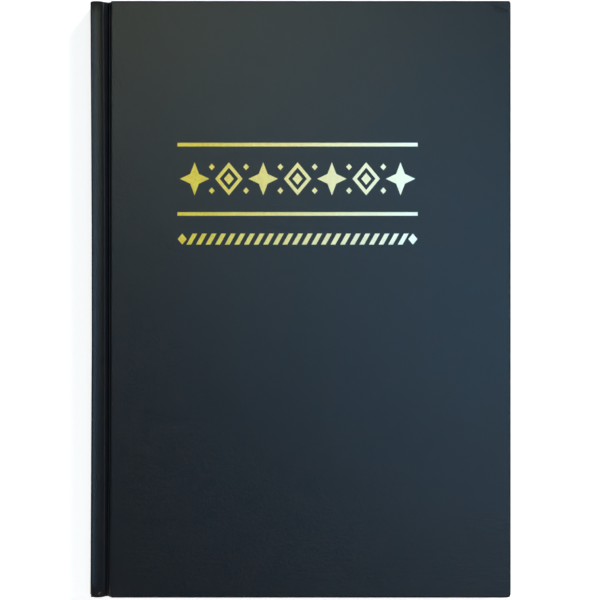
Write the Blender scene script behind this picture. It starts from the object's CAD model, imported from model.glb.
# %% [markdown]
# # A case-bound logbook
# A hardback book is two things made apart and joined late: a block of folded sheets sewn
# through their folds, and a case of three boards in one skin of cloth. This lesson skins the
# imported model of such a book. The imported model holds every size, so each measure below is
# read from its boxes, and only the finish of a piece is decided here.

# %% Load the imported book
import math
import random

import bmesh
import bpy
from mathutils import Matrix, Vector


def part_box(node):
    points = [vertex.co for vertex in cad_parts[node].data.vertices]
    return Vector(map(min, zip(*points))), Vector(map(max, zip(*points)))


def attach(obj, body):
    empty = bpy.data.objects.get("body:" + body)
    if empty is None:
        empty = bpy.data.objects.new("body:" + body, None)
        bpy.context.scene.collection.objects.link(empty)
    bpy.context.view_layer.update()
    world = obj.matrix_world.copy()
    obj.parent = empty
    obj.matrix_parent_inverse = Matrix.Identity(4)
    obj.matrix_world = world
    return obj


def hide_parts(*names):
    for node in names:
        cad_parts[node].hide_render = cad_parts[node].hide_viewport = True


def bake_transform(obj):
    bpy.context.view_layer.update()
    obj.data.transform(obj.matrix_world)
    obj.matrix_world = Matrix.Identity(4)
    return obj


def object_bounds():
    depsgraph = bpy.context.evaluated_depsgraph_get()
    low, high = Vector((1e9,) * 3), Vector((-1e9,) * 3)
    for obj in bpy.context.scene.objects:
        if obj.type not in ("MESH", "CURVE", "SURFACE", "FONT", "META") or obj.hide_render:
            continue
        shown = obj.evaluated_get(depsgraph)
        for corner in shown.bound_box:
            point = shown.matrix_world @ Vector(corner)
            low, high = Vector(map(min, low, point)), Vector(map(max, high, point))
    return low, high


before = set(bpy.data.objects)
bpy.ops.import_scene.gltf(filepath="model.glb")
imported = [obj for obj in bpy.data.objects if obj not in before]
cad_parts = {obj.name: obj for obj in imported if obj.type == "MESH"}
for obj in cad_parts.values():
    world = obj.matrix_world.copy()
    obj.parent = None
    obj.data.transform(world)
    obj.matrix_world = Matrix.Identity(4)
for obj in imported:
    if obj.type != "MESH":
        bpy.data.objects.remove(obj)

packed_low, packed_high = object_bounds()
print("packed pieces:", len(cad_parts))

# %% [markdown]
# ## Measures
# The spine's outside, the hinge of a cover and the first fold are the places that everything
# else is set out from. One millimetre is written once, because cloth and paper are thought of
# in millimetres and Blender works in metres.

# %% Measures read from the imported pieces
MM = 0.001
cover_low, cover_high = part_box("front_cover_cloth")
joint_low, joint_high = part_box("front_joint_cloth")
board_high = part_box("front_board")[1]
fold_low, fold_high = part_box("section_4_fold")
page_low, page_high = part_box("section_8")

spine_x = joint_low.x
middle_z = (packed_low.z + packed_high.z) / 2
cloth_t = cover_high.z - board_high.z
cover_t = cover_high.z - cover_low.z
ridge_drop = cover_high.z - joint_high.z
groove_depth = cover_high.z - joint_low.z - cloth_t
fold_x = fold_low.x
page_end = page_high.x
print("cover", [round(v / MM, 1) for v in (cover_high - cover_low)], "mm")

# %% [markdown]
# ## Small tools of the bench
# A new piece goes through up to three steps: a bmesh becomes an object, its live modifiers are
# turned into mesh, and each point's place in the closed book is kept on it. The kept place is
# what the patterns on cloth and paper read. A cloth that bends over a hinge then carries its
# grain along, where plain object coordinates would slide.

# %% Tools for making a piece
SMOOTH_BELOW = math.radians(35)


def smooth(mesh):
    mesh.shade_smooth()
    mesh.set_sharp_from_angle(angle=SMOOTH_BELOW)


def new_piece(name, bm, material):
    mesh = bpy.data.meshes.new(name)
    bm.to_mesh(mesh)
    bm.free()
    mesh.materials.append(material)
    smooth(mesh)
    made = bpy.data.objects.new(name, mesh)
    bpy.context.scene.collection.objects.link(made)
    return made


def settle_modifiers(made):
    graph = bpy.context.evaluated_depsgraph_get()
    mesh = bpy.data.meshes.new_from_object(made.evaluated_get(graph))
    made.modifiers.clear()
    made.data = mesh
    smooth(mesh)


def give_thickness(made, thickness, offset):
    wall = made.modifiers.new("wall", "SOLIDIFY")
    wall.thickness = thickness
    wall.offset = offset
    wall.use_even_offset = True
    settle_modifiers(made)


def keep_rest_places(made):
    kept = made.data.attributes.new("rest", "FLOAT_VECTOR", "POINT")
    for point, place in zip(made.data.vertices, kept.data):
        place.vector = point.co


# %% [markdown]
# Extrudes hand back verts, edges and faces in one list, and bevels always take the same
# settings. Boxes and arcs are the two shapes most lines below start from.

# %% Tools for shaping a mesh
def new_verts(result):
    return [part for part in result["geom"] if isinstance(part, bmesh.types.BMVert)]


def new_edges(result):
    return [part for part in result["geom"] if isinstance(part, bmesh.types.BMEdge)]


def round_edges(bm, edges, radius, segments):
    bmesh.ops.bevel(
        bm, geom=edges, offset=radius, segments=segments, profile=0.5, affect="EDGES", material=-1
    )


def box_of(bm, low, high):
    place = Matrix.Translation((Vector(low) + Vector(high)) / 2)
    size = Vector(high) - Vector(low)
    return bmesh.ops.create_cube(bm, size=1, matrix=place @ Matrix.Diagonal((*size, 1)))


def arc(centre_x, centre_z, radius, start, end, steps):
    turn = [math.radians(start + (end - start) * i / steps) for i in range(steps + 1)]
    return [(centre_x + radius * math.cos(a), centre_z + radius * math.sin(a)) for a in turn]


# %% [markdown]
# ## Materials
# A material here is a short chain of nodes: where on the piece, which pattern, and which
# socket of the shader it reaches. These helpers keep each chain to a line or two.

# %% Tools for building a material
def new_material(name, colour, roughness, metallic=0.0):
    material = bpy.data.materials.new(name)
    material.use_nodes = True
    shader = material.node_tree.nodes["Principled BSDF"]
    shader.inputs["Base Color"].default_value = (*colour, 1)
    shader.inputs["Roughness"].default_value = roughness
    shader.inputs["Metallic"].default_value = metallic
    return material


def shader_of(material):
    return material.node_tree.nodes["Principled BSDF"]


def feed(material, socket, value):
    if isinstance(value, bpy.types.NodeSocket):
        material.node_tree.links.new(value, socket)
    else:
        socket.default_value = value


def kept_place(material):
    reader = material.node_tree.nodes.new("ShaderNodeAttribute")
    reader.attribute_name = "rest"
    return reader.outputs["Vector"]


def object_place(material):
    return material.node_tree.nodes.new("ShaderNodeTexCoord").outputs["Object"]


def axes_of(material, place):
    split = material.node_tree.nodes.new("ShaderNodeSeparateXYZ")
    feed(material, split.inputs[0], place)
    return split.outputs["X"], split.outputs["Y"], split.outputs["Z"]


def number(material, operation, first, second=0.0, third=0.0):
    made = material.node_tree.nodes.new("ShaderNodeMath")
    made.operation = operation
    for socket, value in zip(made.inputs, (first, second, third)):
        feed(material, socket, value)
    return made.outputs[0]


# %% [markdown]
# Patterns are given the size of one feature, in metres. A colour or a height is then a chain
# of a pattern, a remap and a mix or a bump.

# %% Patterns, mixes and bumps
def noise(material, place, size, detail=2.0, roughness=0.5, stretch=(1, 1, 1)):
    scaled = material.node_tree.nodes.new("ShaderNodeMapping")
    feed(material, scaled.inputs["Vector"], place)
    scaled.inputs["Scale"].default_value = [share / size for share in stretch]
    made = material.node_tree.nodes.new("ShaderNodeTexNoise")
    feed(material, made.inputs["Vector"], scaled.outputs[0])
    made.inputs["Scale"].default_value = 1
    made.inputs["Detail"].default_value = detail
    made.inputs["Roughness"].default_value = roughness
    return made.outputs["Fac"]


def cells(material, place, size):
    scaled = material.node_tree.nodes.new("ShaderNodeMapping")
    feed(material, scaled.inputs["Vector"], place)
    scaled.inputs["Scale"].default_value = [1 / size] * 3
    made = material.node_tree.nodes.new("ShaderNodeTexVoronoi")
    feed(material, made.inputs["Vector"], scaled.outputs[0])
    made.inputs["Scale"].default_value = 1
    return made.outputs["Distance"]


def remap(material, value, low, high, to_low=0.0, to_high=1.0):
    made = material.node_tree.nodes.new("ShaderNodeMapRange")
    for socket, given in zip(made.inputs, (value, low, high, to_low, to_high)):
        feed(material, socket, given)
    return made.outputs[0]


def mix_colour(material, share, first, second):
    made = material.node_tree.nodes.new("ShaderNodeMix")
    made.data_type = "RGBA"
    feed(material, made.inputs["Factor"], share)
    for socket, value in ((made.inputs["A"], first), (made.inputs["B"], second)):
        colour = value if isinstance(value, bpy.types.NodeSocket) else (*value, 1)
        feed(material, socket, colour)
    return made.outputs["Result"]


def bump(material, height, distance, strength=1.0, under=None):
    made = material.node_tree.nodes.new("ShaderNodeBump")
    made.inputs["Distance"].default_value = distance
    made.inputs["Strength"].default_value = strength
    feed(material, made.inputs["Height"], height)
    if under is not None:
        feed(material, made.inputs["Normal"], under)
    return made.outputs["Normal"]


# %% [markdown]
# ### Leathercloth
# The case is covered in a coated cloth embossed with a fine leather grain. Close up, the
# grain is a net of shallow creases round pebbles just under a millimetre across, and from
# arm's length it only breaks up the sheen. The coating is almost black with a blue cast. It
# wears grey where hands and shelves rub it, along the edges of the boards and the spine.
# Wear is drawn from two shapes: the distance to an edge, and a short soft stroke.

# %% Shapes of wear
def distance_inside(material, x, y, z):
    """How far a point lies from the case's ends, its fore-edge and the corners of its spine."""
    from_fore_edge = number(material, "SUBTRACT", packed_high.x, x)
    below_front = number(material, "SUBTRACT", packed_high.z, z)
    above_back = number(material, "SUBTRACT", z, packed_low.z)
    from_faces = number(material, "MINIMUM", below_front, above_back)
    from_spine = number(
        material, "MAXIMUM", from_faces, number(material, "SUBTRACT", x, packed_low.x)
    )
    from_ends = number(material, "SUBTRACT", packed_high.y, number(material, "ABSOLUTE", y))
    sideways = number(material, "MINIMUM", from_fore_edge, from_spine)
    return number(material, "MINIMUM", sideways, from_ends)


def along_and_across(material, x, y, centre, angle):
    """Distances along and across a line through centre, turned by angle."""
    run, rise = math.cos(math.radians(angle)), math.sin(math.radians(angle))
    from_x = number(material, "SUBTRACT", x, centre[0])
    from_y = number(material, "SUBTRACT", y, centre[1])
    along = number(material, "MULTIPLY_ADD", from_y, rise, number(material, "MULTIPLY", from_x, run))
    across = number(material, "MULTIPLY_ADD", from_y, run, number(material, "MULTIPLY", from_x, -rise))
    return along, across


def soft_stroke(material, x, y, centre, angle, length, width):
    """1 along a short stroke, fading to 0 at its rim."""
    along, across = along_and_across(material, x, y, centre, angle)
    far_along = number(material, "DIVIDE", along, length / 2)
    far_across = number(material, "DIVIDE", across, width / 2)
    across_squared = number(material, "MULTIPLY", far_across, far_across)
    squares = number(material, "MULTIPLY_ADD", far_along, far_along, across_squared)
    return remap(material, squares, 0.1, 1.0, 1.0, 0.0)


# %% [markdown]
# The scuff at the foot of the ridge and the crease at the head of the fore-edge are kept to the
# front half of the case. Worn cloth is greyer and a little duller.

# %% Leathercloth
PEBBLE = 0.9 * MM
GRAIN_CREASE = 0.5 * MM
DARK_BLUE, DARK_BROWN = (0.0030, 0.0062, 0.0105), (0.0100, 0.0092, 0.0105)
WORN_GREY = (0.09, 0.095, 0.10)
WEAR_WIDTH = 0.9 * MM


def cloth_grain(material, place):
    pebbles = cells(material, place, PEBBLE)
    creases = noise(material, place, GRAIN_CREASE, detail=3)
    return number(material, "ADD", pebbles, number(material, "MULTIPLY", creases, 0.9))


def cloth_tone(material, place):
    mottle = noise(material, place, 1.8 * MM, detail=5, roughness=0.75)
    patches = noise(material, place, 9 * MM, detail=4, roughness=0.6)
    return number(material, "MULTIPLY_ADD", mottle, 0.6, number(material, "MULTIPLY", patches, 0.4))


def cloth_wear(material, place, x, y, z, outer_half):
    near_edge = remap(material, distance_inside(material, x, y, z), 0.0, WEAR_WIDTH, 0.8, 0.0)
    blotches = remap(material, noise(material, place, 7 * MM, detail=5), 0.45, 0.7)
    rubbed = number(material, "MULTIPLY", near_edge, blotches)
    scuff_at = (packed_low.x + 4.7 * MM, packed_low.y + 2.3 * MM)
    scuff = soft_stroke(material, x, y, scuff_at, 50, 2.4 * MM, 1.0 * MM)
    return number(material, "MAXIMUM", rubbed, number(material, "MULTIPLY", scuff, outer_half))


def cloth_waves(material, place, x, y, outer_half):
    crease_at = (packed_high.x - 4.8 * MM, packed_high.y - 4.7 * MM)
    crease = soft_stroke(material, x, y, crease_at, -22, 15 * MM, 2.2 * MM)
    ripple = noise(material, place, 45 * MM, detail=1)
    waves = bump(material, ripple, 0.25 * MM, strength=0.5)
    return bump(material, number(material, "MULTIPLY", crease, outer_half), 0.10 * MM, under=waves)


def leathercloth():
    material = new_material("leathercloth", DARK_BLUE, 0.3)
    shader = shader_of(material)
    shader.inputs["Specular IOR Level"].default_value = 0.4
    place = kept_place(material)
    x, y, z = axes_of(material, place)
    outer_half = number(material, "GREATER_THAN", z, middle_z)

    tone = cloth_tone(material, place)
    worn = cloth_wear(material, place, x, y, z, outer_half)
    tint = mix_colour(material, remap(material, tone, 0.38, 0.62), DARK_BLUE, DARK_BROWN)
    colour = mix_colour(material, number(material, "MULTIPLY", worn, 0.6), tint, WORN_GREY)
    feed(material, shader.inputs["Base Color"], colour)

    sheen = remap(material, tone, 0.3, 0.7, 0.22, 0.26)
    duller = number(material, "MULTIPLY_ADD", worn, 0.12, sheen)
    feed(material, shader.inputs["Roughness"], duller)
    waves = cloth_waves(material, place, x, y, outer_half)
    relief = bump(material, cloth_grain(material, place), 0.045 * MM, strength=0.65, under=waves)
    feed(material, shader.inputs["Normal"], relief)
    return material


cover_leathercloth = leathercloth()
print("made", cover_leathercloth.name)

# %% [markdown]
# ### Gold foil
# Blocking foil is a film of coloured metal, pressed on hot by a brass die. It takes the cloth's
# grain a little, so its shine is soft, and it thins out in small flecks. Towards the fore-edge,
# where the cover is handled, it is rubbed paler and smoother.

# %% Gold foil
THIN_GOLD, FULL_GOLD = (0.88, 0.60, 0.08), (1.0, 0.74, 0.12)
RUBBED_GOLD = (1.0, 0.80, 0.60)


def gold_foil():
    material = new_material("blocking_foil", FULL_GOLD, 0.37, metallic=1.0)
    place = object_place(material)
    grain = cells(material, place, 0.7 * MM)
    flecks = noise(material, place, 1.6 * MM, detail=4, roughness=0.7)
    x = axes_of(material, place)[0]
    handled = remap(material, x, -50 * MM, 60 * MM)
    gold = mix_colour(material, remap(material, flecks, 0.35, 0.62), THIN_GOLD, FULL_GOLD)
    colour = mix_colour(material, handled, gold, RUBBED_GOLD)
    shader = shader_of(material)
    feed(material, shader.inputs["Base Color"], colour)
    feed(material, shader.inputs["Roughness"], remap(material, handled, 0, 1, 0.37, 0.28))
    feed(material, shader.inputs["Normal"], bump(material, grain, 0.02 * MM, strength=0.5))
    return material


foil = gold_foil()
print("made", foil.name)

# %% [markdown]
# ### Papers and boards
# Paper is a felt of fibres, so it is never quite flat or one colour. The pages are ruled as a
# log: a frame, a heading band, rows for entries and columns for figures. The ruling is a
# pattern of lines on the kept places, one pair of distances to the nearest line. Nothing is
# written in it.

# %% Paper with fibres
def paper(name, colour, shade):
    material = new_material(name, colour, 0.72)
    place = kept_place(material)
    fibres = noise(material, place, 1.2 * MM, detail=5, roughness=0.7, stretch=(1, 0.35, 1))
    clouds = noise(material, place, 14 * MM, detail=2)
    mixed = number(material, "MULTIPLY_ADD", fibres, 0.5, number(material, "MULTIPLY", clouds, 0.5))
    tint = mix_colour(material, remap(material, mixed, 0.35, 0.65), shade, colour)
    shader = shader_of(material)
    feed(material, shader.inputs["Base Color"], tint)
    feed(material, shader.inputs["Normal"], bump(material, fibres, 0.02 * MM, strength=0.5))
    return material, place, tint


def lines(material, along, first, pitch, width):
    """1 on a line of that width at every pitch from first, and 0 between."""
    from_first = number(material, "SUBTRACT", along, first)
    to_nearest = number(material, "PINGPONG", from_first, pitch / 2)
    return number(material, "LESS_THAN", to_nearest, width / 2)


def between(material, value, low, high):
    above = number(material, "GREATER_THAN", value, low)
    below = number(material, "LESS_THAN", value, high)
    return number(material, "MULTIPLY", above, below)


# %% [markdown]
# The ruling stops at a frame, set a little outside the first and last lines so that they keep
# their full width. The heading band is bounded by two heavier lines, one row apart from its
# middle on each side.

# %% Ruled pages and endpapers
ROW, COLUMN = 8 * MM, 23 * MM
RULING_LEFT = fold_x + 20 * MM
RULING_RIGHT = RULING_LEFT + 7.5 * COLUMN
RULING_FOOT, RULING_HEAD = -17 * ROW, 15 * ROW
FRAME_MARGIN = 0.2 * MM
INK_BLUE = (0.16, 0.27, 0.42)


def ruled_paper():
    material, place, tint = paper("log_page_paper", (0.80, 0.78, 0.71), (0.72, 0.70, 0.62))
    x, y, z = axes_of(material, place)
    in_width = between(material, x, RULING_LEFT - FRAME_MARGIN, RULING_RIGHT + FRAME_MARGIN)
    in_height = between(material, y, RULING_FOOT - FRAME_MARGIN, RULING_HEAD + FRAME_MARGIN)
    inside = number(material, "MULTIPLY", in_width, in_height)
    rows = lines(material, y, RULING_FOOT, ROW, 0.3 * MM)
    columns = lines(material, x, RULING_LEFT, COLUMN, 0.35 * MM)
    from_band = number(material, "SUBTRACT", y, RULING_HEAD - ROW)
    heading = lines(material, number(material, "ABSOLUTE", from_band), ROW, 60 * ROW, 0.9 * MM)
    ruling = number(material, "MAXIMUM", number(material, "MAXIMUM", rows, columns), heading)
    inked = number(material, "MULTIPLY", number(material, "MULTIPLY", ruling, inside), 0.75)
    colour = mix_colour(material, inked, tint, INK_BLUE)
    feed(material, shader_of(material).inputs["Base Color"], colour)
    return material


page_paper = ruled_paper()
endpaper_paper = paper("plain_endpaper", (0.74, 0.72, 0.65), (0.68, 0.66, 0.58))[0]
print("made", page_paper.name, "and", endpaper_paper.name)

# %% [markdown]
# ### What is hidden in the spine
# Greyboard, kraft paper, mull, thread and the striped headbands show only where the book is
# open or seen from its ends, but each is its own stuff. Mull is an open weave, so its threads
# are two sets of stripes that cross.

# %% Greyboard, kraft, mull, thread and headband
MULL_PITCH = 0.45 * MM
SILK_STRIPE = 1.0 * MM


def plain_stuff(name, colour, shade, grain):
    material = new_material(name, colour, 0.85)
    place = object_place(material)
    specks = noise(material, place, grain, detail=4, roughness=0.7)
    shader = shader_of(material)
    tint = mix_colour(material, remap(material, specks, 0.35, 0.65), shade, colour)
    feed(material, shader.inputs["Base Color"], tint)
    feed(material, shader.inputs["Normal"], bump(material, specks, 0.04 * MM, strength=0.6))
    return material


def woven_mull():
    material = new_material("woven_mull", (0.72, 0.68, 0.57), 0.9)
    place = kept_place(material)
    x, y, z = axes_of(material, place)
    across = number(material, "PINGPONG", number(material, "ADD", x, z), MULL_PITCH)
    along = number(material, "PINGPONG", y, MULL_PITCH)
    thread = number(material, "MAXIMUM", across, along)
    height = remap(material, thread, 0.4 * MULL_PITCH, MULL_PITCH)
    shader = shader_of(material)
    tint = mix_colour(material, height, (0.40, 0.36, 0.28), (0.76, 0.72, 0.60))
    feed(material, shader.inputs["Base Color"], tint)
    feed(material, shader.inputs["Normal"], bump(material, height, 0.12 * MM))
    return material


def striped_silk():
    material = new_material("striped_headband", (0.05, 0.12, 0.32), 0.5)
    z = axes_of(material, object_place(material))[2]
    striped = number(material, "PINGPONG", z, SILK_STRIPE)
    stripe = number(material, "GREATER_THAN", striped, SILK_STRIPE / 2)
    shader = shader_of(material)
    tint = mix_colour(material, stripe, (0.045, 0.10, 0.27), (0.75, 0.73, 0.66))
    feed(material, shader.inputs["Base Color"], tint)
    wraps = number(material, "PINGPONG", z, 0.125 * MM)
    feed(material, shader.inputs["Normal"], bump(material, wraps, 0.15 * MM))
    return material


greyboard = plain_stuff("grey_millboard", (0.33, 0.31, 0.27), (0.22, 0.21, 0.18), 0.9 * MM)
kraft_paper = plain_stuff("kraft_paper", (0.42, 0.28, 0.15), (0.34, 0.22, 0.11), 1.5 * MM)
linen_thread = plain_stuff("linen_thread", (0.80, 0.77, 0.68), (0.62, 0.58, 0.48), 0.3 * MM)
mull = woven_mull()
headband_silk = striped_silk()
print("materials so far:", len(bpy.data.materials))

# %% [markdown]
# ## The case cloth
# One skin of cloth covers both boards and the spine. A cover half is easiest as the box it
# wraps: its inner face is inset by the width of the turn-in, which draws the mitred corners,
# and the middle is cut out. The spine side is cut off by a plane. From that cut edge the cloth
# is drawn out step by step along the outline of groove, ridge and spine.

# %% The outline of groove, ridge and spine
TURN_IN = 15 * MM
EDGE_ROUND = 0.5 * MM
BOARD_EDGE_ROUND = 0.7 * MM
RIDGE_ROUND = 0.8 * MM
GROOVE_ROUND = 0.5 * MM
RIDGE_HOLLOW = 0.2 * MM


def between_stops(y, stops):
    """A value read off a short table of (y, value), joined by straight runs."""
    for (low_y, low_value), (high_y, high_value) in zip(stops, stops[1:]):
        if y <= high_y:
            share = max(0, (y - low_y) / (high_y - low_y))
            return low_value + share * (high_value - low_value)
    return stops[-1][1]


def spine_bow(y):
    stops = ((-0.150, 0.0), (-0.10, 0.25), (-0.02, 0.65), (0.04, 0.6), (0.10, 0.3), (0.150, 0.0))
    return MM * between_stops(y, stops)


def groove_edges(y):
    """Where the ridge ends and the board's cloth begins, from the spine's outside."""
    ridge_stops = ((-0.15, 7.7), (-0.05, 8.1), (0.04, 8.1), (0.09, 7.8), (0.15, 7.2))
    board_stops = ((-0.15, 9.3), (-0.125, 9.6), (-0.09, 10.1), (-0.05, 10.3), (0.15, 10.3))
    return MM * between_stops(y, ridge_stops), MM * between_stops(y, board_stops)


def outline_at(y):
    """(x from the spine's outside, depth below the cover's face), from the board to the spine."""
    ridge_edge, board_edge = groove_edges(y)
    left = spine_bow(y)
    width = board_edge - ridge_edge
    floor_x = board_edge - 0.08 * MM - GROOVE_ROUND
    floor_z = -min(groove_depth, 1.1 * width) + GROOVE_ROUND
    board_side = arc(board_edge + BOARD_EDGE_ROUND, -BOARD_EDGE_ROUND, BOARD_EDGE_ROUND, 90, 175, 5)
    groove_floor = arc(floor_x, floor_z, GROOVE_ROUND, 0, -130, 6)
    crown = -ridge_drop - RIDGE_ROUND
    ridge_right = arc(ridge_edge - RIDGE_ROUND, crown, RIDGE_ROUND, 42, 90, 4)
    run = ridge_edge - RIDGE_ROUND - (left + RIDGE_ROUND)
    hollow = [
        (ridge_edge - RIDGE_ROUND - share * run,
         -ridge_drop - RIDGE_HOLLOW * math.sin(math.pi * share) ** 0.6)
        for share in (0.1, 0.25, 0.5, 0.75, 0.9)
    ]
    ridge_left = arc(left + RIDGE_ROUND, crown, RIDGE_ROUND, 90, 180, 6)
    spine_face = [(left, -3 * MM), (left, -6 * MM), (left, -(cover_high.z - middle_z))]
    return board_side + groove_floor + ridge_right + hollow + ridge_left + spine_face


print("points along the groove and the ridge:", len(outline_at(0)))


# %% [markdown]
# The cut edge already bends down at head and tail, where the box was rounded. Carried along
# the outline, that bend becomes the folded end of the cloth. Each step keeps its distance
# below the surface, so the fold turns with the outline. The ends are drawn in a little: the
# cloth sinks beside the ridge, and the corner at the spine's foot is rubbed away.

# %% Drawing the cloth out from the cover
def end_draw(x, at_head):
    """How far the cloth's end is drawn in from the square outline, at x from the spine."""
    sunk = 0.6 * MM * math.exp(-(((x - 8.4 * MM) / (2.6 * MM)) ** 2))
    corner = (0.3 if at_head else 1.5) * MM * math.exp(-((x / (1.2 * MM)) ** 2))
    return sunk + corner


print("ends drawn in beside the ridge by", round(end_draw(8.4 * MM, True) / MM, 2), "mm")

# %% [markdown]
# Each new row of points is set on the outline, then pushed below the surface by the depth it
# was given at the cut.

# %% Following the outline
def surface_at(y, i):
    """A point of the outline and the direction into the cloth there."""
    points = outline_at(y)
    back = Vector(points[max(i - 1, 0)])
    ahead = Vector(points[min(i + 1, len(points) - 1)])
    run = (ahead - back).normalized()
    return Vector(points[i]), Vector((-run.y, run.x))


def draw_out(bm, edges):
    depth_of = {v: cover_high.z - v.co.z for edge in edges for v in edge.verts}
    for i in range(1, len(outline_at(0))):
        before = {v for edge in edges for v in edge.verts}
        made = bmesh.ops.extrude_edge_only(bm, edges=edges)
        edges = [edge for edge in new_edges(made) if edge.is_boundary]
        for vert in new_verts(made):
            source = next(e.other_vert(vert) for e in vert.link_edges if e.other_vert(vert) in before)
            depth_of[vert] = depth_of[source]
            point, inward = surface_at(vert.co.y, i)
            placed = point + depth_of[vert] * inward
            vert.co.x = spine_x + placed.x
            vert.co.z = cover_high.z + placed.y
        drawn = set(new_verts(made))
        edges = [edge for edge in edges if all(v in drawn for v in edge.verts)]


def draw_in_ends(bm):
    for vert in bm.verts:
        x = vert.co.x - spine_x
        at_end = abs(vert.co.y) > cover_high.y - 2 * EDGE_ROUND
        if at_end and x < cover_low.x + BOARD_EDGE_ROUND - spine_x - 0.01 * MM:
            vert.co.y -= math.copysign(end_draw(x, vert.co.y > 0), vert.co.y)


# %% [markdown]
# The box is bevelled in two goes, the corners of the fore-edge first and then the long edges,
# so the second round runs over the first. A tab of cloth is left to cover each end of the
# board beside the groove.

# %% One half of the case's cloth
SPINE_ROWS = 40
FLAT_BORDER = 0.4 * MM
TAB_GAP = 0.1 * MM
NEAR = 0.01 * MM


def edges_on_cut(bm, cut_x, on_top):
    """The open edges in the cut plane, either round the outer face or below it."""
    lowest = cover_high.z - EDGE_ROUND - NEAR
    return [
        edge for edge in bm.edges
        if edge.is_boundary
        and all(abs(v.co.x - cut_x) < NEAR for v in edge.verts)
        and all(v.co.z > lowest for v in edge.verts) == on_top
    ]


def wrapped_board(bm, corner_rounds):
    """The box of a cover with its inner face cut out inside the turn-ins, and its edges round."""
    box_of(bm, cover_low - Vector((2 * TURN_IN, 0, 0)), cover_high)
    inner = min(bm.faces, key=lambda face: face.normal.z)
    bmesh.ops.inset_region(bm, faces=[inner], thickness=TURN_IN, use_even_offset=True)
    bmesh.ops.delete(bm, geom=[inner], context="FACES")
    for at_y, corner_round in corner_rounds:
        corner = [
            edge for edge in bm.edges
            if abs(edge.verts[0].co.z - edge.verts[1].co.z) > cover_t / 2
            and all(v.co.x > 0 and abs(v.co.y - at_y) < MM for v in edge.verts)
        ]
        round_edges(bm, corner, corner_round, 6)
    rims = [
        edge for edge in bm.edges
        if len(edge.link_faces) == 2
        and min(abs(face.normal.z) for face in edge.link_faces) < 0.1
        and max(abs(face.normal.z) for face in edge.link_faces) > 0.9
    ]
    round_edges(bm, rims, EDGE_ROUND, 4)


def cut_and_draw(bm):
    """Cut off the spine side, leave a tab below the cut, and draw the outer face out of it."""
    cut_x = cover_low.x + BOARD_EDGE_ROUND
    bmesh.ops.bisect_plane(
        bm, geom=[*bm.verts, *bm.edges, *bm.faces], plane_co=(cut_x, 0, 0),
        plane_no=(1, 0, 0), clear_inner=True,
    )
    longest = max(edges_on_cut(bm, cut_x, True), key=lambda edge: edge.calc_length())
    bmesh.ops.subdivide_edges(bm, edges=[longest], cuts=SPINE_ROWS)
    top_edges = edges_on_cut(bm, cut_x, True)
    tab_edges = edges_on_cut(bm, cut_x, False)
    tab = bmesh.ops.extrude_edge_only(bm, edges=tab_edges)
    bmesh.ops.translate(bm, verts=new_verts(tab), vec=(TAB_GAP - BOARD_EDGE_ROUND, 0, 0))
    draw_out(bm, top_edges)
    draw_in_ends(bm)


def case_half(name, front, corner_rounds):
    bm = bmesh.new()
    wrapped_board(bm, corner_rounds)
    cut_and_draw(bm)
    if not front:
        bmesh.ops.scale(
            bm, verts=bm.verts, vec=(1, 1, -1), space=Matrix.Translation((0, 0, -middle_z))
        )
    bmesh.ops.recalc_face_normals(bm, faces=bm.faces)
    widest = max(bm.faces, key=lambda face: face.calc_area())
    if (widest.normal.z > 0) != front:
        bmesh.ops.reverse_faces(bm, faces=bm.faces)
    bmesh.ops.inset_region(bm, faces=[widest], thickness=FLAT_BORDER, use_even_offset=True)
    made = new_piece(name, bm, cover_leathercloth)
    give_thickness(made, cloth_t, -1)
    return made


SHARP_CORNER, RUBBED_CORNER = 1.3 * MM, 2.1 * MM
front_case_cloth = case_half(
    "front_case_cloth", True, [(cover_high.y, SHARP_CORNER), (-cover_high.y, RUBBED_CORNER)]
)
back_case_cloth = case_half(
    "back_case_cloth", False, [(cover_high.y, SHARP_CORNER), (-cover_high.y, SHARP_CORNER)]
)
print("faces in the front cloth:", len(front_case_cloth.data.polygons))

# %% [markdown]
# ### Room for the blocking
# A hot die presses the foil below the cloth's face. The four pieces of foil are in the packed
# model, so copies of them, drawn up through the surface, cut the recesses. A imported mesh
# stores its own normals. They are dropped from the copy, or the cut would hand them on to the
# cloth and spoil its shading.

# %% Recesses under the foil
FOIL_PIECES = ("upper_rule", "title_frieze", "lower_rule", "rope_border")


def foil_die():
    bm = bmesh.new()
    for name in FOIL_PIECES:
        bm.from_mesh(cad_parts[name].data)
    bmesh.ops.remove_doubles(bm, verts=bm.verts, dist=0.001 * MM)
    top = max(vert.co.z for vert in bm.verts)
    raised = [vert for vert in bm.verts if vert.co.z > top - NEAR]
    bmesh.ops.translate(bm, verts=raised, vec=(0, 0, MM))
    made = new_piece("foil_die", bm, cover_leathercloth)
    made.data.attributes.remove(made.data.attributes["custom_normal"])
    return made


die = foil_die()
press = front_case_cloth.modifiers.new("press", "BOOLEAN")
press.operation = "DIFFERENCE"
press.solver = "EXACT"
press.object = die
settle_modifiers(front_case_cloth)
bpy.data.objects.remove(die)
print("faces after blocking:", len(front_case_cloth.data.polygons))

# %% [markdown]
# ### Letting the cloth bend
# The cloth between the ridge and the board is the hinge. A blend turns each point part of the
# way, from nothing at the spine to the whole turn at the board. It starts just past the
# spine's corner, because cloth that lies above the hinge bunches up if it has to turn in too
# short a length.


def bend_with(made):
    keep_rest_places(made)
    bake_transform(made)


bend_with(front_case_cloth)
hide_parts("front_cover_cloth", "front_joint_cloth", "spine_cloth")
bend_with(back_case_cloth)
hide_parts("back_cover_cloth", "back_joint_cloth")

# %% [markdown]
# ### The spine's turned-in ends
# At head and tail the cloth is folded over the end of the spine board. Each fold is a short
# block with round edges, tucked just inside the outer skin.

# %% Spine ends
FOLD_ROUND = 0.35 * MM
FOLD_TUCK = 0.3 * MM


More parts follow.
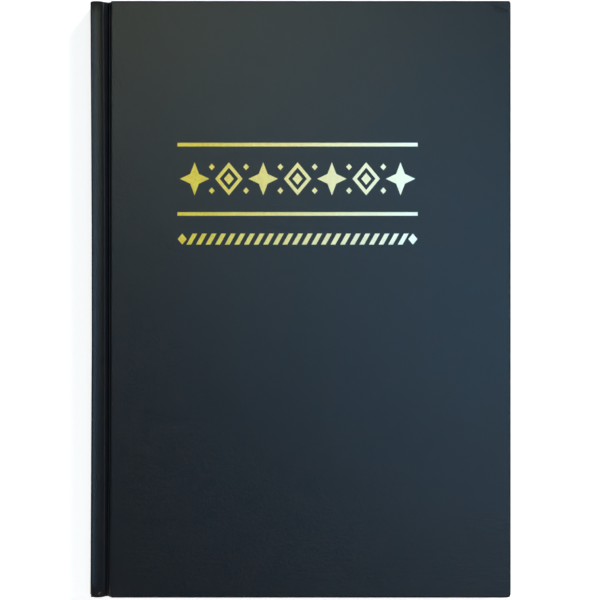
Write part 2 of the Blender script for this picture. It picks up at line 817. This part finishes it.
def spine_end(name, at_head):
    low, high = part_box("spine_cloth")
    near, far = high.y - TURN_IN, high.y - FOLD_TUCK
    start_y, end_y = (near, far) if at_head else (-far, -near)
    bm = bmesh.new()
    box_of(bm, (low.x + cloth_t, start_y, low.z), (high.x, end_y, high.z))
    round_edges(bm, bm.edges[:], FOLD_ROUND, 3)
    made = new_piece(name, bm, cover_leathercloth)
    keep_rest_places(made)
    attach(made, "text_block")
    print("made", made.name)


spine_end("spine_head_turn_in", True)
spine_end("spine_tail_turn_in", False)

# %% [markdown]
# ## Sheets
# Everything else that bends is a sheet of even thickness whose end view is a line: endpapers,
# mull and pages. One tool draws the line by pushing a vertex along it, draws the line out down
# the height of the book, and gives it a wall.

# %% The tool for sheets
GUTTER = 17 * MM
GUTTER_STEPS = 18


def stations(start, end):
    """Places across a sheet: close together in the gutter, where it bends, then one long run."""
    bend_end = spine_x + GUTTER
    steps = [start + (bend_end - start) * i / GUTTER_STEPS for i in range(GUTTER_STEPS + 1)]
    return [*steps, (bend_end + end) / 2, end]


def draw_sheet(bm, line, height):
    tip = bm.verts.new((line[0][0], -height / 2, line[0][1]))
    edges = []
    for x, z in line[1:]:
        made = bmesh.ops.extrude_vert_indiv(bm, verts=[tip])
        tip = made["verts"][0]
        tip.co = (x, -height / 2, z)
        edges += made["edges"]
    swept = bmesh.ops.extrude_edge_only(bm, edges=edges)
    bmesh.ops.translate(bm, verts=new_verts(swept), vec=(0, height, 0))


def sheet_piece(name, lines_across, height, thickness, material):
    bm = bmesh.new()
    for line in lines_across:
        draw_sheet(bm, line, height)
    bmesh.ops.recalc_face_normals(bm, faces=bm.faces)
    made = new_piece(name, bm, material)
    give_thickness(made, thickness, 0)
    return made


def bind(made, body):
    """Let a leaf stay with the text block, or bend with its body from the fold outwards."""
    if body == "text_block":
        keep_rest_places(made)
        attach(made, body)
    else:
        bend_with(made)


print("stations across a page:", len(stations(fold_x, page_end)))

# %% [markdown]
# ### Endpapers
# A folded sheet joins the block to each cover. One leaf is pasted down over the turn-ins, and
# the other is left free as the flyleaf. The pasted leaf runs from the fold across the joint to
# just short of the board's edge, and leaves an even border of cloth.

# %% Pastedowns and flyleaves
page_height = page_high.y - page_low.y
paper_t = 0.13 * MM


def level(low_high):
    return (low_high[0].z + low_high[1].z) / 2


def pastedown(name, cover_body, node, fold_node):
    low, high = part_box(node)
    z = low.z + paper_t / 2 if cover_body == "front_cover" else high.z - paper_t / 2
    line = [(x, z) for x in stations(fold_x + 0.1 * MM, high.x)]
    made = sheet_piece(name, [line], high.y - low.y, paper_t, endpaper_paper)
    bend_with(made)
    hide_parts(node, fold_node)


def flyleaf(name, node, body):
    low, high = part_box(node)
    line = [(x, level((low, high))) for x in stations(fold_x + 0.2 * MM, page_end)]
    made = sheet_piece(name, [line], page_height, paper_t, endpaper_paper)
    bind(made, body)
    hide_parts(node)


pastedown("front_pasted_endpaper", "front_cover", "front_pastedown", "front_endpaper_fold")
pastedown("back_pasted_endpaper", "back_cover", "back_pastedown", "back_endpaper_fold")
flyleaf("front_free_endpaper", "front_flyleaf", "front_flyleaf")
flyleaf("back_free_endpaper", "back_flyleaf", "text_block")
print("leaves are", round(page_height / MM, 1), "mm high")

# %% [markdown]
# ### Mull
# The open weave runs round the back of the sewn sections, over both shoulders and under each
# pastedown. It is made as two halves that meet at the middle of the spine, because each half
# follows its own cover.

# %% Mull round the spine and into the joints
MULL_T = 0.2 * MM
SHOULDER_ROUND = 0.5 * MM
JOINT_STATIONS = (0.25, 0.4, 0.55, 0.7, 0.85, 0.97)


def mull_half(name, front, flange):
    """Drawn as the front half, and turned over for the back."""
    spine_mull_low, spine_mull_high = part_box("spine_mull")
    back_x = spine_mull_low.x + MULL_T / 2
    top_z = spine_mull_high.z - MULL_T / 2
    flange_low, flange_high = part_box(flange)
    flange_z = level((flange_low, flange_high))
    if not front:
        flange_z = 2 * middle_z - flange_z
    round_x, round_z = back_x + SHOULDER_ROUND, top_z - SHOULDER_ROUND
    corner = arc(round_x, round_z, SHOULDER_ROUND, 180, 90, 4)
    joint = [(back_x + (cover_low.x - back_x) * share, top_z) for share in JOINT_STATIONS]
    pasted = [(flange_low.x + MM, flange_z), (flange_high.x, flange_z)]
    line = [(back_x, middle_z), *corner, *joint, *pasted]
    if not front:
        line = [(x, 2 * middle_z - z) for x, z in line]
    made = sheet_piece(name, [line], spine_mull_high.y - spine_mull_low.y, MULL_T, mull)
    bend_with(made)
    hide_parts(flange)
    return made


front_mull = mull_half("front_mull", True, "front_mull_flange")
mull_half("back_mull", False, "back_mull_flange")
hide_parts("spine_mull")
print("faces in the front mull:", len(front_mull.data.polygons))

# %% [markdown]
# ## The sewn sections
# A section is four sheets folded once and nested, so it has eight leaves. Its end view is four
# hairpins with one centre. Sections that turn whole bend from their sewn fold. The fourth opens
# at its own middle: its upper leaves turn and its lower leaves stay, with the folds.

# %% Sections of nested sheets
SHEETS = 4
LEAF_SHARE = 0.86
even_hand = random.Random(11)
section_t = fold_high.z - fold_low.z
fold_centre_x = fold_x + section_t / 2
pitch = section_t / (2 * SHEETS)
trim = 0.12 * MM


def fore_edge():
    return page_end - trim * even_hand.random()


def upper_leaf(z):
    return [(x, z) for x in reversed(stations(fold_centre_x, fore_edge()))]


def lower_leaf(z):
    return [(x, z) for x in stations(fold_centre_x, fore_edge())]


def section_lines(low_z, which):
    """The end views of a section's sheets, whole or only its front or back leaves."""
    centre_z = low_z + section_t / 2
    found = []
    for i in range(SHEETS):
        radius = (i + 0.5) * pitch
        hairpin = arc(fold_centre_x, centre_z, radius, 90, 270, 6)
        upper = upper_leaf(centre_z + radius)
        lower = lower_leaf(centre_z - radius)
        parts = {
            "whole": upper + hairpin[1:-1] + lower,
            "front": upper,
            "back": hairpin + lower[1:],
        }
        found.append(parts[which])
    return found


print("a leaf is", round(LEAF_SHARE * pitch / MM, 2), "mm thick")

# %% [markdown]
# Sections are sewn from the front of the book to the back, so that the trim of the fore-edge
# runs the same way each time.

# %% Sew the sections
def section(name, low_z, which, body, *nodes):
    leaves = section_lines(low_z, which)
    made = sheet_piece(name, leaves, page_height, LEAF_SHARE * pitch, page_paper)
    bind(made, body)
    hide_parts(*nodes)


for i in (1, 2, 3):
    fold_node = f"section_{i}_fold"
    low_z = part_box(fold_node)[0].z
    section(f"section_{i}_sheets", low_z, "whole", f"section_{i}", f"section_{i}", fold_node)
upper_nodes = ("section_4_front_leaves",)
lower_nodes = ("section_4_back_leaves", "section_4_fold")
section("section_4_upper_leaves", fold_low.z, "front", "section_4_front", *upper_nodes)
section("section_4_lower_leaves", fold_low.z, "back", "text_block", *lower_nodes)
for i in (5, 6, 7, 8):
    low_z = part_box(f"section_{i}")[0].z
    section(f"section_{i}_sheets", low_z, "whole", "text_block", f"section_{i}")
print("sheets sewn:", 8 * SHEETS)

# %% [markdown]
# ### Thread in the middle fold
# Sewing runs along the inside of every fold, in and out at the stations. It shows at the
# opening in the fourth section, as a row of long stitches.

# %% Stitches in the middle fold
STITCHES = 8
STITCH_SHARE = 0.8


def stitches():
    low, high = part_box("sewing_thread")
    station = (high.y - low.y) / STITCHES
    radius = (high.x - low.x) / 2
    along_fold = Matrix.Rotation(math.radians(90), 4, "X")
    bm = bmesh.new()
    for i in range(STITCHES):
        y = low.y + (i + 0.5) * station
        centre = Vector((fold_centre_x + radius, y, fold_low.z + section_t / 2))
        bmesh.ops.create_cone(
            bm, cap_ends=True, segments=10, radius1=radius, radius2=radius,
            depth=station * STITCH_SHARE, matrix=Matrix.Translation(centre) @ along_fold,
        )
    made = new_piece("middle_fold_stitches", bm, linen_thread)
    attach(made, "text_block")
    print("stitches in the middle fold:", STITCHES)


stitches()

# %% [markdown]
# ### Headbands
# A headband hides the ends of the sections at the spine. It is a core wrapped in two colours
# of silk, on a tape glued down the spine. The wraps are rings drawn up the core, each pinched
# where it meets the next.

# %% Headband and tailband
WRAPS = 24
PINCH = 0.93


def wrapped_core(bm, centre, radius, height):
    bmesh.ops.create_circle(
        bm, cap_ends=False, radius=radius * PINCH, segments=20, matrix=Matrix.Translation(centre)
    )
    edges = bm.edges[:]
    round_centre = Matrix.Translation((-centre.x, -centre.y, 0))
    for i in range(2 * WRAPS):
        drawn = bmesh.ops.extrude_edge_only(bm, edges=edges)
        edges = [edge for edge in new_edges(drawn) if edge.is_boundary]
        share = 1 / PINCH if i % 2 == 0 else PINCH
        bmesh.ops.translate(bm, verts=new_verts(drawn), vec=(0, 0, height / (2 * WRAPS)))
        bmesh.ops.scale(bm, verts=new_verts(drawn), vec=(share, share, 1), space=round_centre)
    bmesh.ops.holes_fill(bm, edges=bm.edges)
    bmesh.ops.recalc_face_normals(bm, faces=bm.faces)


def headband(name, node, at_head):
    low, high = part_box(node)
    radius = (high.x - low.x) / 2
    centre_y = high.y - radius if at_head else low.y + radius
    bm = bmesh.new()
    wrapped_core(bm, Vector((low.x + radius, centre_y, low.z)), radius, high.z - low.z)
    tape_start, tape_end = (low.y, centre_y) if at_head else (centre_y, high.y)
    box_of(bm, (low.x, tape_start, low.z), (fold_x, tape_end, high.z))
    made = new_piece(name, bm, headband_silk)
    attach(made, "text_block")
    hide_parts(node)
    print("made", made.name, "with", WRAPS, "wraps")


headband("wrapped_headband", "headband", True)
headband("wrapped_tailband", "tailband", False)

# %% [markdown]
# ### The spine's board
# The spine is pressed in slightly at mid-height. The board behind the cloth follows the same
# bow, or it would stand through the cloth. Its ends stop inside the turned-in cloth.

# %% Bowed spine board
BEHIND_CLOTH = 0.02 * MM
INSIDE_FOLD = 0.6 * MM


def bowed_board():
    low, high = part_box("spine_board")
    bm = bmesh.new()
    start = low + Vector((BEHIND_CLOTH, INSIDE_FOLD, 0))
    box_of(bm, start, high - Vector((0, INSIDE_FOLD, 0)))
    lengthwise = [edge for edge in bm.edges if edge.calc_length() > high.y]
    bmesh.ops.subdivide_edges(bm, edges=lengthwise, cuts=SPINE_ROWS, use_grid_fill=True)
    for vert in bm.verts:
        vert.co.x += spine_bow(vert.co.y)
    made = new_piece("bowed_spine_board", bm, greyboard)
    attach(made, "text_block")
    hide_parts("spine_board")
    print("rows of faces along the spine board:", SPINE_ROWS + 1)


bowed_board()

# %% [markdown]
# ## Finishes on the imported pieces
# The cover boards, kraft lining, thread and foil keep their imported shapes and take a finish.

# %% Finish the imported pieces
PACKED_FINISHES = {
    "front_board": greyboard,
    "back_board": greyboard,
    "spine_kraft": kraft_paper,
    "sewing_thread": linen_thread,
    **{name: foil for name in FOIL_PIECES},
}
for name, material in PACKED_FINISHES.items():
    for material_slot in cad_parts[name].material_slots:
        material_slot.material = material
print("finished", len(PACKED_FINISHES), "packed pieces")

# %% [markdown]
# ## The table, the light and the camera
# The book lies on a white table that glows a little, so hardly a shadow shows. Four weak panels
# overhead, each with its own tint, are mirrored in the cover as a sheen that runs from warm grey
# at the head to blue at the fore-edge. A white key light over the head and fore-edge and a
# weaker one over the spine light the foil, the ridge and the groove. The camera looks straight
# down.

# %% Table
def white_table():
    bm = bmesh.new()
    bmesh.ops.create_grid(bm, x_segments=1, y_segments=1, size=6)
    bmesh.ops.translate(bm, verts=bm.verts, vec=(0, 0, packed_low.z - 0.02 * MM))
    material = new_material("white_table", (0.92, 0.92, 0.92), 0.9)
    shader = shader_of(material)
    shader.inputs["Specular IOR Level"].default_value = 0.0
    shader.inputs["Emission Color"].default_value = (1, 1, 1, 1)
    shader.inputs["Emission Strength"].default_value = 0.62
    made = new_piece("white_table", bm, material)
    print("made", made.name)


white_table()

# %% Lights
def soft_light(name, centre, aim, size, power, colour):
    lamp = bpy.data.lights.new(name, "AREA")
    lamp.shape = "RECTANGLE"
    lamp.size, lamp.size_y = size
    lamp.energy = power
    lamp.color = colour
    made = bpy.data.objects.new(name, lamp)
    made.location = centre
    made.rotation_mode = "QUATERNION"
    made.rotation_quaternion = (Vector(aim) - Vector(centre)).to_track_quat("-Z", "Y")
    bpy.context.scene.collection.objects.link(made)


WHITE = (1.0, 1.0, 1.0)
PANEL, SOFTBOX = (0.5, 0.5), (1.0, 1.0)
# name, place, size, watts, colour
LIGHTS = [
    ("ceiling_panel", (-0.18, 0.54, 3.0), PANEL, 2.5, (1.0, 0.88, 0.36)),
    ("head_panel", (0.0, 0.36, 3.0), PANEL, 2.0, (0.29, 0.69, 1.0)),
    ("window_panel", (0.36, 0.0, 3.0), PANEL, 3.6, (0.20, 0.57, 1.0)),
    ("fore_edge_panel", (0.54, -0.36, 3.0), PANEL, 1.3, (0.73, 0.88, 1.0)),
    ("key", (1.39, 1.39, 1.54), SOFTBOX, 49, WHITE),
    ("fill", (-1.39, -1.39, 1.54), SOFTBOX, 20, WHITE),
]
for name, place, size, watts, colour in LIGHTS:
    soft_light(name, place, (0, 0, 0), size, watts, colour)
world = bpy.data.worlds.new("soft_room")
world.use_nodes = True
world.node_tree.nodes["Background"].inputs["Color"].default_value = (1, 1, 1, 1)
world.node_tree.nodes["Background"].inputs["Strength"].default_value = 0.1
bpy.context.scene.world = world
bpy.context.scene.view_settings.view_transform = "Standard"
print("lights:", len(LIGHTS))

# %% Camera
CAMERA_HEIGHT = 1.5
PICTURE_WIDTH = 306.2 * MM
lens = bpy.data.cameras.new("straight_above")
lens.sensor_width = 36
lens.lens = 36 * CAMERA_HEIGHT / PICTURE_WIDTH
camera = bpy.data.objects.new("straight_above", lens)
camera.location = (0, -0.36 * MM, packed_high.z + CAMERA_HEIGHT)
bpy.context.scene.collection.objects.link(camera)
bpy.context.scene.camera = camera
print("lens:", round(lens.lens, 1), "mm")
